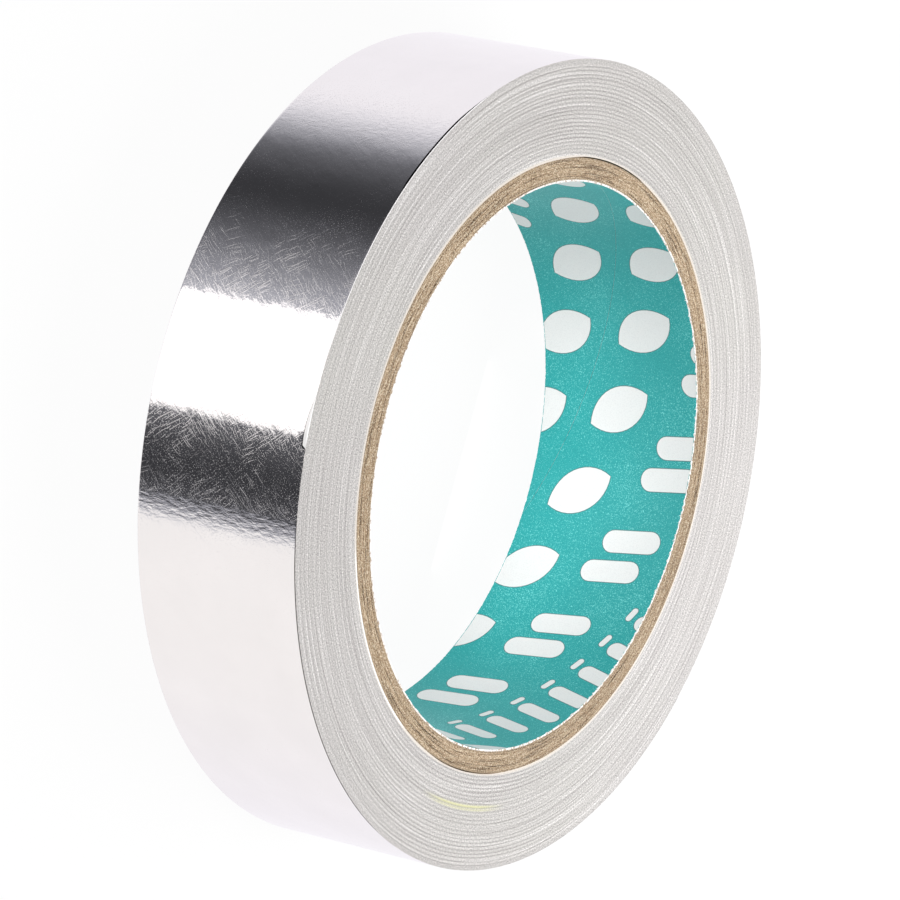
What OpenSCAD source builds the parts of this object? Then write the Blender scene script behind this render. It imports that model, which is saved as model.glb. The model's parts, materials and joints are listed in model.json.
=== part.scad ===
// Roll of aluminium foil tape on a paper core, lying on its side.
// The roll's axis is Z, its centre is at X = Y = 0 and it stands on Z = 0.

/* [Tape] */
// Width of the tape, and of the core that is cut with it
tape_w = 25; // [12:1:75]
// Thickness of one turn, foil, adhesive and liner together
turn_t = 0.11; // [0.06:0.01:0.3]
// Number of turns on the roll
turns = 119; // [30:1:300]
// Direction in which the tape's free end lies, in degrees
end_angle = 60; // [0:5:355]
// Turns between one line that shows on a side face and the next
turns_per_line = 6; // [3:1:12]
// Width of such a line at the face
line_w = 0.16; // [0.05:0.01:0.18]
// Depth of such a line
line_d = 0.14; // [0.03:0.01:0.3]

/* [Core] */
// Bore of the core, inside its printed lining
bore_d = 76.2; // [25.4:0.1:152.4]
// Thickness of the printed paper lining
lining_t = 0.25; // [0.15:0.05:0.6]
// Wall of the kraft board tube
board_t = 2.9; // [1.2:0.1:8]
// Plies in the board's wall
plies = 6; // [2:1:8]
// Width of the line between two plies at the core's end
ply_line_w = 0.14; // [0.04:0.01:0.14]
// Depth of that line
ply_line_d = 0.12; // [0.03:0.01:0.3]
// Slant of the spirally wound lining, from the circumference, in degrees
ply_slant = 20; // [12:1:35]
// Gap left at the lining's butt seam
seam_gap = 0.3; // [0.1:0.05:0.8]
// Direction in which that seam passes half the core's width, in degrees
seam_angle = 131; // [0:1:359]

/* [Print] */
// Depth of the print's white fields in the lining
print_t = 0.1; // [0.04:0.01:0.12]
// Rows of print across the lining's strip
print_rows = 7; // [4:1:8]
// Length of a leaf
leaf_l = 10.5; // [4:0.5:11]
// Width of a leaf
leaf_w = 6; // [2:0.5:7]
// Distance from one leaf to the next
leaf_pitch = 13; // [12:0.5:30]
// Length of a bar of a pair
pair_l = 9; // [4:0.5:10]
// Width of a bar of a pair
pair_w = 3.2; // [1:0.1:3.5]
// Distance between the two bars' middles
pair_gap = 5; // [4.2:0.1:7]
// Distance from one pair to the next
pair_pitch = 15; // [14:0.5:30]
// Length of a bar in the close row
bar_l = 7.2; // [3:0.1:7.5]
// Width of a bar in the close row
bar_w = 2.4; // [0.8:0.1:3]
// Distance from one bar to the next in the close row
bar_pitch = 5.2; // [4.6:0.1:10]
// Length of a dash under the close row
dash_l = 2.2; // [0.8:0.1:2.4]
// Width of a dash under the close row
dash_w = 0.9; // [0.4:0.1:1.1]

/* [Hidden] */
$fn = 96;

bore_r = bore_d / 2;
board_in_r = bore_r + lining_t;
core_r = board_in_r + board_t;
wound_t = turns * turn_t;
tape_r = core_r + wound_t;

line_pitch = turns_per_line * turn_t;
lines = floor(wound_t / line_pitch) - 1;
first_line_r = core_r + line_pitch / 2;
ply_t = board_t / plies;

// A strip that is wound at a slant closes on itself when it is this wide
strip_w = PI * bore_d * sin(ply_slant);
row_pitch = strip_w / print_rows;
row_l = tape_w / sin(ply_slant);

leaf_lean = 38;
pair_lean = 62;
bar_lean = 84;
bar_rise = 0.9;
dash_gap = 0.8;
seam_step = 5;
cut_over = 1;

// Outline of a ring's section, whose top and bottom faces carry V-shaped lines
function lined_section(in_r, out_r, first_r, pitch, count, w, d) =
    let (rs = [for (i = [0 : count - 1]) first_r + i * pitch], last = count - 1)
    concat(
        [[in_r, 0]],
        [for (r = rs, v = [[-w / 2, 0], [0, d], [w / 2, 0]]) [r, 0] + v],
        [[out_r, 0], [out_r, tape_w]],
        [for (i = [0 : last], v = [[w / 2, 0], [0, -d], [-w / 2, 0]]) [rs[last - i], tape_w] + v],
        [[in_r, tape_w]]
    );

// Half of a ring, from angle 0 to 180, whose middle is moved out by shift, towards angle 0
module half_turns(shift, in_r, out_r) {
    translate([shift, 0, 0]) rotate_extrude(angle = 180) polygon(lined_section(
        in_r, out_r, first_line_r + abs(shift), line_pitch, lines, line_w, line_d));
}

// The turns are a spiral of half rings round two centres: each half starts where the last one
// ended. The outside grows by one turn's thickness in a turn, and the free end is a step.
module foil_tape() {
    color("#D5D1CF") rotate([0, 0, end_angle]) {
        half_turns(0, core_r, tape_r);
        rotate([0, 0, 180]) difference() {
            intersection() {
                half_turns(-line_pitch / 2, core_r - cut_over, tape_r + line_pitch);
                translate([-turn_t / 2, 0, 0]) cylinder(r = tape_r + turn_t / 2, h = tape_w);
            }
            translate([0, 0, -cut_over]) cylinder(r = core_r, h = tape_w + 2 * cut_over);
        }
    }
}

module core_tube() {
    color("#BE9F7B") rotate_extrude() polygon(lined_section(
        board_in_r, core_r, board_in_r + ply_t, ply_t, plies - 1, ply_line_w, ply_line_d));
}

// Carries a shape to the bore's wall, where its X runs along the strip that the lining is wound
// from, its Y across the strip and its Z outwards. The seam is the strip's edge.
module on_strip(along, across) {
    arc = along * cos(ply_slant) - across * sin(ply_slant);
    height = tape_w / 2 + along * sin(ply_slant) + across * cos(ply_slant);
    rotate([0, 0, seam_angle + arc / bore_r * 180 / PI]) translate([bore_r, 0, height])
        rotate([90, 0, 90]) rotate([0, 0, ply_slant]) children();
}

// The butt seam climbs from one face to the other, cut in short steps that overlap
module seam_cut() {
    steps = ceil(row_l / seam_step);
    step = row_l / steps;
    for (i = [0 : steps]) on_strip((i - steps / 2) * step, 0)
        translate([-step * 0.55, -seam_gap / 2, -cut_over])
            cube([step * 1.1, seam_gap, lining_t + 2 * cut_over]);
}

// A ring on the roll's axis that passes both faces by over
module ring(in_r, out_r, over = 0) {
    translate([0, 0, -over]) difference() {
        cylinder(r = out_r, h = tape_w + 2 * over);
        translate([0, 0, -cut_over]) cylinder(r = in_r, h = tape_w + 2 * (over + cut_over));
    }
}

module core_lining() {
    color("#40B2AC") difference() {
        ring(bore_r, board_in_r);
        seam_cut();
        intersection() {
            ring(bore_r - cut_over / 2, bore_r + print_t, cut_over);
            all_rows();
        }
    }
}

module leaf() {
    arc_r = (leaf_l * leaf_l + leaf_w * leaf_w) / (4 * leaf_w);
    intersection() {
        translate([0, arc_r - leaf_w / 2]) circle(r = arc_r);
        translate([0, leaf_w / 2 - arc_r]) circle(r = arc_r);
    }
}

module bar(l, w) {
    square([l - w, w], center = true);
    for (side = [-1, 1]) translate([side * (l - w) / 2, 0]) circle(d = w);
}

// Carries a flat mark to its place in a row, leaning from the row's own direction
module wrapped(along, across, lean) {
    on_strip(along, across) translate([0, 0, -cut_over]) rotate([0, 0, lean])
        linear_extrude(height = 2 * cut_over) children();
}

// Places along a row, from one face of the core to the other, that are a pitch apart
function places(across, pitch) =
    let (middle = -across / tan(ply_slant), half = ceil(row_l / 2 / pitch))
    [for (i = [-half : half]) middle + i * pitch];

module leaf_row(across) {
    for (u = places(across, leaf_pitch)) wrapped(u, across, leaf_lean) leaf();
}

module pair_row(across) {
    for (u = places(across, pair_pitch), side = [-1, 1])
        wrapped(u + side * pair_gap / 2, across, pair_lean) bar(pair_l, pair_w);
}

module close_row(across) {
    for (u = places(across, bar_pitch)) {
        wrapped(u, across + bar_rise, bar_lean) bar(bar_l, bar_w);
        wrapped(u, across + bar_rise - bar_l / 2 - dash_gap - dash_w / 2, 0) bar(dash_l, dash_w);
    }
}

module print_row(i) {
    across = (i + 0.5) * row_pitch;
    kind = i % 3;
    if (kind == 0) leaf_row(across);
    if (kind == 1) pair_row(across);
    if (kind == 2) close_row(across);
}

module all_rows() {
    for (i = [0 : print_rows - 1]) print_row(i);
}

// The fields lie flush in the lining, as ink does
module lining_print() {
    color("#E7E4E8") intersection() {
        ring(bore_r, bore_r + print_t);
        all_rows();
    }
}

foil_tape();
core_tube();
core_lining();
lining_print();
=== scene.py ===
# Roll of aluminium foil tape on a printed paper core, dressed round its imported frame.
# The dictionaries give sizes in millimetres and angles in degrees. Meshes are made in metres.
import json
import math

import bmesh
import bpy
from mathutils import Matrix, Vector, noise


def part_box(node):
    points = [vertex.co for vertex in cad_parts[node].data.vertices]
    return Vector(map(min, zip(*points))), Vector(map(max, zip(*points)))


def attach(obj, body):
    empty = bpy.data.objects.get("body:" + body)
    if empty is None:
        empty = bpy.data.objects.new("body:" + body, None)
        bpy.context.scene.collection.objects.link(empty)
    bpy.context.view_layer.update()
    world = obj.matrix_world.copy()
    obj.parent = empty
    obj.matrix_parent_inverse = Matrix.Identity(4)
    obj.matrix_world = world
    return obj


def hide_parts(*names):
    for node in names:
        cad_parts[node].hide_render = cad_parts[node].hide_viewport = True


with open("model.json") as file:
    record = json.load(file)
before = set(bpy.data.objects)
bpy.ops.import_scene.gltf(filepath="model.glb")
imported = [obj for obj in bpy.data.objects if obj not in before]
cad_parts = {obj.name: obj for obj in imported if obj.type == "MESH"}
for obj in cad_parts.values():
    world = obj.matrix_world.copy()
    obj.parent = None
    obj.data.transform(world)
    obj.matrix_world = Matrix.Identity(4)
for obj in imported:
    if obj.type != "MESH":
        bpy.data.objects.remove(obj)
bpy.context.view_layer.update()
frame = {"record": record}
mm = 0.001
rootBody = "root"

# What the frame says of the roll's own sizes
boreMount = [m for m in frame["record"]["mounts"] if m["name"] == "core_bore"][0]
boreRadius = boreMount["dims"]["r_mm"]
tapeWidth = boreMount["dims"]["length_mm"]
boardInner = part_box("core_lining")[1].x / mm
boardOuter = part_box("core_tube")[1].x / mm
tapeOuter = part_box("foil_tape")[1].y / mm  # the free end's step lies elsewhere, so this is the plain radius


def linearColour(hexText):
    # sRGB hex to the linear values that the shaders take
    channels = [int(hexText[i:i + 2], 16) / 255 for i in (1, 3, 5)]
    return [c / 12.92 if c <= 0.04045 else ((c + 0.055) / 1.055) ** 2.4 for c in channels] + [1]


def setInputs(tree, node, inputs):
    # inputs gives values, sockets or nodes (their first output in use), by place or by name
    for key, value in inputs.items() if isinstance(inputs, dict) else enumerate(inputs):
        if isinstance(value, bpy.types.Node):
            value = [s for s in value.outputs if s.enabled][0]
        if isinstance(value, bpy.types.NodeSocket):
            tree.links.new(value, node.inputs[key])
        elif isinstance(value, str) and value.startswith("#"):
            node.inputs[key].default_value = linearColour(value)
        else:
            node.inputs[key].default_value = value


def addNode(tree, kind, inputs=(), **settings):
    node = tree.nodes.new(kind)
    for name, value in settings.items():
        setattr(node, name, value)
    setInputs(tree, node, inputs)
    return node


def arcCover(tree, angle, start, end, softStart, softEnd):
    # 1 between two values, such as angles, with a smooth edge inside each of them
    rising = addNode(tree, "ShaderNodeMapRange", [angle, start, start + softStart],
                     interpolation_type="SMOOTHSTEP")
    falling = addNode(tree, "ShaderNodeMapRange", [angle, end - softEnd, end, 1.0, 0.0],
                      interpolation_type="SMOOTHSTEP")
    return addNode(tree, "ShaderNodeMath", [rising, falling], operation="MULTIPLY")


def setStops(ramp, stops):
    # stops is a list of (position, colour as hex text or grey level)
    elements = ramp.color_ramp.elements
    while len(elements) < len(stops):
        elements.new(1)
    for element, (position, colour) in zip(elements, stops):
        element.position = position
        element.color = linearColour(colour) if isinstance(colour, str) else (colour,) * 3 + (1,)
    return ramp


def polar(radius, degrees, height):
    angle = math.radians(degrees)
    return Vector((radius * math.cos(angle), radius * math.sin(angle), height)) * mm


def angleOf(point):
    return math.degrees(math.atan2(point.y, point.x)) % 360


def hump(value, centre, halfWidth):
    # 1 in the middle, falling smoothly to 0 at halfWidth on each side
    share = max(0.0, 1 - abs(value - centre) / halfWidth)
    return share * share * (3 - 2 * share)


# Studio: camera as the photograph's, white room, plain soft light

cameraPose = {
    "aim": (0.281, -0.8325, 11.229),  # point on the optical axis
    "distance": 904.1,
    "azimuth": -0.02,
    "elevation": 33.22,
    "roll": 101.96,                   # the picture's up lies this far to the left of the roll's axis
    "lens": 271.7,
    "sensor": 36,
}


def makeCamera(p):
    azimuth = math.radians(p["azimuth"] - 90)
    elevation = math.radians(p["elevation"])
    back = Vector((
        math.cos(elevation) * math.cos(azimuth),
        math.cos(elevation) * math.sin(azimuth),
        math.sin(elevation),
    ))
    data = bpy.data.cameras.new("photoCamera")
    data.lens = p["lens"]
    data.sensor_width = p["sensor"]
    data.clip_start = 0.01
    data.clip_end = 50
    camera = bpy.data.objects.new("photoCamera", data)
    camera.location = (Vector(p["aim"]) + back * p["distance"]) * mm
    turned = (-back).to_track_quat("-Z", "Y").to_matrix() @ Matrix.Rotation(math.radians(p["roll"]), 3, "Z")
    camera.rotation_euler = turned.to_euler()
    bpy.context.collection.objects.link(camera)
    bpy.context.scene.camera = camera


studio = {
    "fillLevel": 0.59,        # the room's light on matt surfaces
    "roomLevel": 1.0,         # the white room that the camera and the foil see
    # What the foil mirrors is placed by the angle on its wall that shows it to the camera
    "softbox": (255.4, 272.3),
    "softboxEdge": 0.2,
    "softboxLevel": 1.4,
    "flags": [
        {"from": 218.2, "to": 255.5, "softFrom": 12.5, "softTo": 0.3,
         "darkestAt": 238.5, "darkest": 0.047, "rise": 0.0018},
        {"from": 284.4, "to": 288.8, "softFrom": 0.3, "softTo": 2.8,
         "darkestAt": 284.6, "darkest": 0.29, "rise": 0.03},
        {"from": 272.5, "to": 285.2, "softFrom": 0.3, "softTo": 0.4,
         "darkestAt": 280.2, "darkest": 0.050, "rise": 0.002},
    ],
    "flagTint": "#F0F1FC",
    "roomAbove": "#FCF9FE",
    "roomBelow": "#FFFCFB",
    "roomBelowArc": (200, 350, 85, 50),  # where the lower room's tint comes in: from, to, soft edges
    "lamps": [                # name, place, what it points at, size and power in watts
        ("keyLamp", (-260, -620, 640), (0, 0, 0), 420, 2.1),
        ("sideLamp", (60, 300, 260), (0, 0, 0), 260, 1.5),
        ("boreLamp", (2, 19, 1.5), (4, 38, 6), 30, 0.0041),  # what the white table throws up the bore
    ],
    "floorSize": 24000,
    "floorPaper": "#F4F4F4",
    "floorGlow": 0.93,        # share of the floor that the camera sees as plain white
    "tableGlow": 0.58,        # share of it that lights the bore from below, as a light table does
}


def makeWorld(p):
    world = bpy.data.worlds.new("studioWorld")
    bpy.context.scene.world = world
    world.use_nodes = True
    tree = world.node_tree
    tree.nodes.clear()
    direction = addNode(tree, "ShaderNodeTexCoord").outputs["Generated"]
    axes = addNode(tree, "ShaderNodeSeparateXYZ", [direction])
    turn = addNode(tree, "ShaderNodeMath", [axes.outputs["Y"], axes.outputs["X"]], operation="ARCTAN2")
    # A wall that faces the angle a mirrors the azimuth 2a - 270 towards the camera
    degrees = addNode(tree, "ShaderNodeMath", [turn, 180 / math.pi, 270.0], operation="MULTIPLY_ADD")
    within = addNode(tree, "ShaderNodeMath", [degrees, 360.0], operation="MODULO")
    mirrorAt = addNode(tree, "ShaderNodeMath", [within, 0.5, 180.0], operation="MULTIPLY_ADD")
    inBox = arcCover(tree, mirrorAt, *p["softbox"], p["softboxEdge"], p["softboxEdge"])
    level = addNode(tree, "ShaderNodeMix", {0: inBox, 2: p["roomLevel"], 3: p["softboxLevel"]},
                    data_type="FLOAT")
    belowShare = arcCover(tree, mirrorAt, *p["roomBelowArc"])
    tint = addNode(tree, "ShaderNodeMix", {0: belowShare, 6: p["roomAbove"], 7: p["roomBelow"]},
                   data_type="RGBA")
    for flag in p["flags"]:
        cover = arcCover(tree, mirrorAt, flag["from"], flag["to"], flag["softFrom"], flag["softTo"])
        off = addNode(tree, "ShaderNodeMath", [mirrorAt, flag["darkestAt"]], operation="SUBTRACT")
        square = addNode(tree, "ShaderNodeMath", [off, off], operation="MULTIPLY")
        dark = addNode(tree, "ShaderNodeMath", [square, flag["rise"], flag["darkest"]],
                       operation="MULTIPLY_ADD")
        level = addNode(tree, "ShaderNodeMix", {0: cover, 2: level, 3: dark}, data_type="FLOAT")
        tint = addNode(tree, "ShaderNodeMix", {0: cover, 6: tint, 7: p["flagTint"]}, data_type="RGBA")
    ray = addNode(tree, "ShaderNodeLightPath")
    matt = addNode(tree, "ShaderNodeBackground", {"Color": "#FFFFFF", "Strength": p["fillLevel"]})
    plain = addNode(tree, "ShaderNodeBackground", {"Color": "#FFFFFF", "Strength": p["roomLevel"]})
    mirrored = addNode(tree, "ShaderNodeBackground", {"Color": tint, "Strength": level})
    seen = addNode(tree, "ShaderNodeMath", [
        ray.outputs["Is Camera Ray"], ray.outputs["Is Transmission Ray"]], operation="MAXIMUM")
    room = addNode(tree, "ShaderNodeMixShader", [seen, matt, plain])
    shine = addNode(tree, "ShaderNodeMixShader", [ray.outputs["Is Glossy Ray"], room, mirrored])
    addNode(tree, "ShaderNodeOutputWorld", {"Surface": shine})


def makeLamp(name, at, aim, size, power):
    data = bpy.data.lights.new(name, "AREA")
    data.shape = "DISK"
    data.size = size * mm
    data.energy = power
    lamp = bpy.data.objects.new(name, data)
    lamp.location = Vector(at) * mm
    lamp.rotation_euler = (Vector(aim) * mm - lamp.location).to_track_quat("-Z", "Y").to_euler()
    lamp.visible_glossy = False
    lamp.visible_camera = False
    bpy.context.collection.objects.link(lamp)


def makeFloor(p):
    half = p["floorSize"] * mm / 2
    mesh = bpy.data.meshes.new("studioFloor")
    corners = [(-half, -half, 0), (half, -half, 0), (half, half, 0), (-half, half, 0)]
    mesh.from_pydata(corners, [], [(0, 1, 2, 3)])
    floor = bpy.data.objects.new("studioFloor", mesh)
    bpy.context.collection.objects.link(floor)
    material = bpy.data.materials.new("whitePaperSweep")  # pale seamless paper, which keeps a faint shadow
    material.use_nodes = True
    tree = material.node_tree
    tree.nodes.clear()
    paper = addNode(tree, "ShaderNodeBsdfDiffuse", {"Color": p["floorPaper"]})
    glow = addNode(tree, "ShaderNodeEmission", {"Color": "#FFFFFF", "Strength": 1.0})
    ray = addNode(tree, "ShaderNodeLightPath")
    share = addNode(tree, "ShaderNodeMapRange", {
        "Value": ray.outputs["Is Camera Ray"], "To Min": p["tableGlow"], "To Max": p["floorGlow"]})
    both = addNode(tree, "ShaderNodeMixShader", [share, paper, glow])
    addNode(tree, "ShaderNodeOutputMaterial", {"Surface": both})
    mesh.materials.append(material)
    floor.visible_glossy = False  # the foil mirrors the room below, where the flags stand


makeCamera(cameraPose)
makeWorld(studio)
for lamp in studio["lamps"]:
    makeLamp(*lamp)
makeFloor(studio)
bpy.context.scene.view_settings.view_transform = "Standard"
print("studio ready")


# Finishes

def newFinish(name):
    material = bpy.data.materials.new(name)
    material.use_nodes = True
    material.node_tree.nodes.clear()
    return material, material.node_tree


tapeShape = {
    "bands": 30,              # one for four turns
    "turn": 0.11,
    "endAngle": 60,
    "gapWidth": 0.035,
    "burr": 0.012,            # the slitting knife rolls the foil over at the rim
    "gapDepth": 0.05,
    "rise": 0.004,
    "lobes": 2.6,
    "seed": 3.0,
    "segments": 440,
    "wallRows": 21,
    "dentFrom": 265.2,        # a knock in the rim: the outer turns flare out, run on and step back
    "dentFull": 269.3,
    "dentTo": 273.4,
    "dentBack": 0.8,
    "dentOut": 0.22,
    "dentDeep": 0.8,
    "gapFrom": 158,           # the core stands a little away from the tape between these
    "gapTo": 196,
    "secondGapFrom": 340,
    "secondGapTo": 374,
    "coreGap": 0.16,
}


foilFinish = {
    "metal": "#F4F2F2",
    "dull": "#F0EEEE",
    "roughness": 0.045,
    "hazeRoughness": 0.33,    # where fine dust and rubbing dull the metal
    "scratchRoughness": 0.45,
    "dustRoughness": 0.44,
    "dust": 0.17,             # size of the dull specks, coarser than real dust so that they show
    "dustShown": (0.58, 0.70),  # the speck pattern's value where a speck starts and where it is full
    "cloud": 9.0,             # size of the patches that hold more of them
    "ripple": (4.5, 2.6, -45),  # length, width and direction of the ripples that fray a reflection's edge
    "rippleHeight": 0.030,
    "crease": (0.6, 1.5),       # width and length of the fine creases that lie across the tape
    "creaseHeight": 0.018,
    "creaseCalm": 0.65,         # how much of the ripples they take away
    # stretches with such creases: from, to, how softly each end fades, and how deep they are
    "creased": [(220, 229, 2.0, 3.0, 0.9), (283.6, 289, 0.8, 3.0, 1.3)],
    "streakDepth": 0.0065,
    "scratchDepth": 0.008,
    "wander": 0.7,            # how far a scratch bends
    "wanderSize": 4.0,
    # stretches of the wall that have been rubbed most: from, to, how softly each end fades, and how much
    "rubbed": [(216, 231, 5, 4, 0.4), (239, 255.8, 11, 0.8, 1.0), (271.8, 284.3, 2.2, 0.8, 0.55)],
    "elsewhere": 0.14,
    # length, width and direction of the streaks that rubbing leaves, wider than real ones so that they
    # show, and the cloud pattern's value at which that direction starts and at which it is full
    "streakSets": [
        (3.0, 0.17, -52, 0.53, 0.49), (1.6, 0.17, -36, 0.62, 0.50), (2.2, 0.18, 50, 0.49, 0.54),
    ],
    "streakShown": (0.62, 0.69),
    # length, width, share of the cells that hold one, and direction of each set of hairline scratches
    "scratchSets": [
        (3.4, 0.05, 0.30, -52), (2.8, 0.05, 0.22, 66), (0.17, 0.13, 0.9, 0),
    ],
    # lines painted along the upper rim: painted shade where the outer turn curls away from the roll, a
    # fainter painted shade line further round, and on the knocked lip a painted shade line and a white
    # painted highlight.
    # For each: from, to, how slowly each end thins, width, colour, and whether it is metal
    "rimLines": [
        (213, 237, 9.0, 3.0, 0.30, "#121014", 1.0), (281, 346, 9.0, 16.0, 0.14, "#5F5B59", 1.0),
        (265.8, 274.4, 6.0, 0.6, 0.66, "#7E7A78", 1.0), (265.8, 274.2, 6.0, 0.6, 0.56, "#FAF8F7", 0.0),
    ],
}


def makeFoil(p):
    # Bright rolled aluminium foil: a near mirror, frayed by ripples and dulled by dust, rubbing and
    # hairline scratches. The pattern lies on the wall's own map, unrolled to millimetres.
    material, tree = newFinish("rolledFoil")
    wallMap = addNode(tree, "ShaderNodeUVMap", uv_map="wallMap")
    flat = addNode(tree, "ShaderNodeVectorMath", [wallMap, (2 * math.pi * tapeOuter, tapeWidth, 1)],
                   operation="MULTIPLY")
    bend = addNode(tree, "ShaderNodeTexNoise", {"Vector": flat, "Scale": 1 / p["wanderSize"], "Detail": 1.0})
    bendSize = (p["wander"], p["wander"], 0)
    bent = addNode(tree, "ShaderNodeVectorMath", [bend.outputs["Color"], bendSize, flat],
                   operation="MULTIPLY_ADD")
    cloud = addNode(tree, "ShaderNodeTexNoise", {"Vector": bent, "Scale": 1 / p["cloud"], "Detail": 3.0})
    scratches = 0.0
    for index, (length, width, share, lean) in enumerate(p["scratchSets"]):
        turned = addNode(tree, "ShaderNodeMapping", {
            "Vector": bent, "Location": (7.3 * index, 3.1 * index, 0), "Rotation": (0, 0, math.radians(lean)),
        })
        stretched = addNode(tree, "ShaderNodeVectorMath", [turned, (1 / (3 * length), 1 / (3 * width), 1)],
                            operation="MULTIPLY")
        cells = addNode(tree, "ShaderNodeTexVoronoi", {"Vector": stretched, "Scale": 1.0},
                        feature="F1", voronoi_dimensions="2D")
        thin = addNode(tree, "ShaderNodeMapRange", [cells.outputs["Distance"], 0.02, 0.17, 1.0, 0.0])
        chance = addNode(tree, "ShaderNodeSeparateColor", [cells.outputs["Color"]])
        chosen = addNode(tree, "ShaderNodeMapRange", [chance, 1 - share, 1.0])
        mark = addNode(tree, "ShaderNodeMath", [thin, chosen], operation="MULTIPLY")
        scratches = addNode(tree, "ShaderNodeMath", [scratches, mark], operation="MAXIMUM")
    dust = addNode(tree, "ShaderNodeTexNoise", {"Vector": flat, "Scale": 1 / p["dust"], "Detail": 1.0})
    dulled = addNode(tree, "ShaderNodeMath", [
        addNode(tree, "ShaderNodeMapRange", [dust, *p["dustShown"]]),
        addNode(tree, "ShaderNodeMapRange", [cloud, 0.38, 0.62, 0.6, 1.0]),
    ], operation="MULTIPLY")
    streaks = 0.0
    for length, width, lean, fadeAt, fullAt in p["streakSets"]:
        turned = addNode(tree, "ShaderNodeMapping", {"Vector": bent, "Rotation": (0, 0, math.radians(lean))})
        stretched = addNode(tree, "ShaderNodeVectorMath", [turned, (1 / length, 1 / width, 1)],
                            operation="MULTIPLY")
        streak = addNode(tree, "ShaderNodeTexNoise", {"Vector": stretched, "Scale": 1.0, "Detail": 0.0})
        hairs = addNode(tree, "ShaderNodeMath", [
            addNode(tree, "ShaderNodeMapRange", [streak, *p["streakShown"]]),
            addNode(tree, "ShaderNodeMapRange", [cloud, fadeAt, fullAt])], operation="MULTIPLY")
        streaks = addNode(tree, "ShaderNodeMath", [streaks, hairs], operation="MAXIMUM")
    hazed = addNode(tree, "ShaderNodeMath", [
        streaks, addNode(tree, "ShaderNodeMapRange", [cloud, 0.38, 0.60, 0.4, 1.0]),
    ], operation="MULTIPLY")
    turn = addNode(tree, "ShaderNodeSeparateXYZ", [wallMap])
    angle = addNode(tree, "ShaderNodeMath", [turn.outputs["X"], 360.0, tapeShape["endAngle"]],
                    operation="MULTIPLY_ADD")
    wear = p["elsewhere"]
    for start, end, softStart, softEnd, share in p["rubbed"]:
        cover = arcCover(tree, angle, start, end, softStart, softEnd)
        wear = addNode(tree, "ShaderNodeMix", {0: cover, 2: wear, 3: share}, data_type="FLOAT")
    hazeHere = addNode(tree, "ShaderNodeMath", [hazed, wear], operation="MULTIPLY")
    dustHere = addNode(tree, "ShaderNodeMath", [
        dulled, addNode(tree, "ShaderNodeMapRange", [wear, 0.0, 0.4, 0.35, 1.0])], operation="MULTIPLY")
    scratchHere = addNode(tree, "ShaderNodeMath", [scratches, wear], operation="MULTIPLY")
    hazy = addNode(tree, "ShaderNodeMapRange", [hazeHere, 0.0, 1.0, p["roughness"], p["hazeRoughness"]])
    dusty = addNode(tree, "ShaderNodeMix", {0: dustHere, 2: hazy, 3: p["dustRoughness"]}, data_type="FLOAT")
    roughness = addNode(tree, "ShaderNodeMix", {0: scratchHere, 2: dusty, 3: p["scratchRoughness"]},
                        data_type="FLOAT")
    length, width, lean = p["ripple"]
    turned = addNode(tree, "ShaderNodeMapping", {"Vector": bent, "Rotation": (0, 0, math.radians(lean))})
    stretched = addNode(tree, "ShaderNodeVectorMath", [turned, (1 / length, 1 / width, 1)],
                        operation="MULTIPLY")
    ripple = addNode(tree, "ShaderNodeTexNoise", {
        "Vector": stretched, "Scale": 1.0, "Detail": 4.0, "Roughness": 0.55})
    creasedHere = 0.0
    for start, end, softStart, softEnd, depth in p["creased"]:
        cover = arcCover(tree, angle, start, end, softStart, softEnd)
        creasedHere = addNode(tree, "ShaderNodeMath", [cover, depth, creasedHere], operation="MULTIPLY_ADD")
    calm = addNode(tree, "ShaderNodeMath", [creasedHere, -p["creaseCalm"], 1.0], operation="MULTIPLY_ADD")
    rippled = addNode(tree, "ShaderNodeBump", {
        "Height": ripple, "Distance": p["rippleHeight"] * mm, "Strength": calm})
    width, length = p["crease"]
    stretched = addNode(tree, "ShaderNodeVectorMath", [bent, (1 / width, 1 / length, 1)],
                        operation="MULTIPLY")
    crease = addNode(tree, "ShaderNodeTexNoise", {
        "Vector": stretched, "Scale": 1.0, "Detail": 2.0, "Roughness": 0.6})
    creased = addNode(tree, "ShaderNodeBump", {
        "Height": crease, "Distance": p["creaseHeight"] * mm, "Strength": creasedHere, "Normal": rippled})
    brushed = addNode(tree, "ShaderNodeBump", {
        "Height": hazeHere, "Distance": p["streakDepth"] * mm, "Strength": 1.0, "Normal": creased})
    scratched = addNode(tree, "ShaderNodeBump", {
        "Height": scratchHere, "Distance": p["scratchDepth"] * mm, "Strength": 1.0, "Normal": brushed})
    colour = setStops(addNode(tree, "ShaderNodeValToRGB", [cloud]), [(0.3, p["dull"]), (0.7, p["metal"])])
    fromRim = addNode(tree, "ShaderNodeMath", [turn.outputs["Y"], -tapeWidth, tapeWidth],
                      operation="MULTIPLY_ADD")
    metal = 1.0
    # painted shade and a painted highlight, laid into the foil's colour along the rim
    for start, end, softStart, softEnd, width, shade, metallic in p["rimLines"]:
        arc = arcCover(tree, angle, start, end, softStart, softEnd)
        reach = addNode(tree, "ShaderNodeMath", [arc, width], operation="MULTIPLY")
        near = addNode(tree, "ShaderNodeMath", [fromRim, reach], operation="LESS_THAN")
        colour = addNode(tree, "ShaderNodeMix", {0: near, 6: colour, 7: shade}, data_type="RGBA")
        metal = addNode(tree, "ShaderNodeMix", {0: near, 2: metal, 3: metallic}, data_type="FLOAT")
    shader = addNode(tree, "ShaderNodeBsdfPrincipled", {
        "Base Color": colour, "Metallic": metal, "Roughness": roughness, "Normal": scratched})
    addNode(tree, "ShaderNodeOutputMaterial", {"Surface": shader})
    return material


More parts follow.
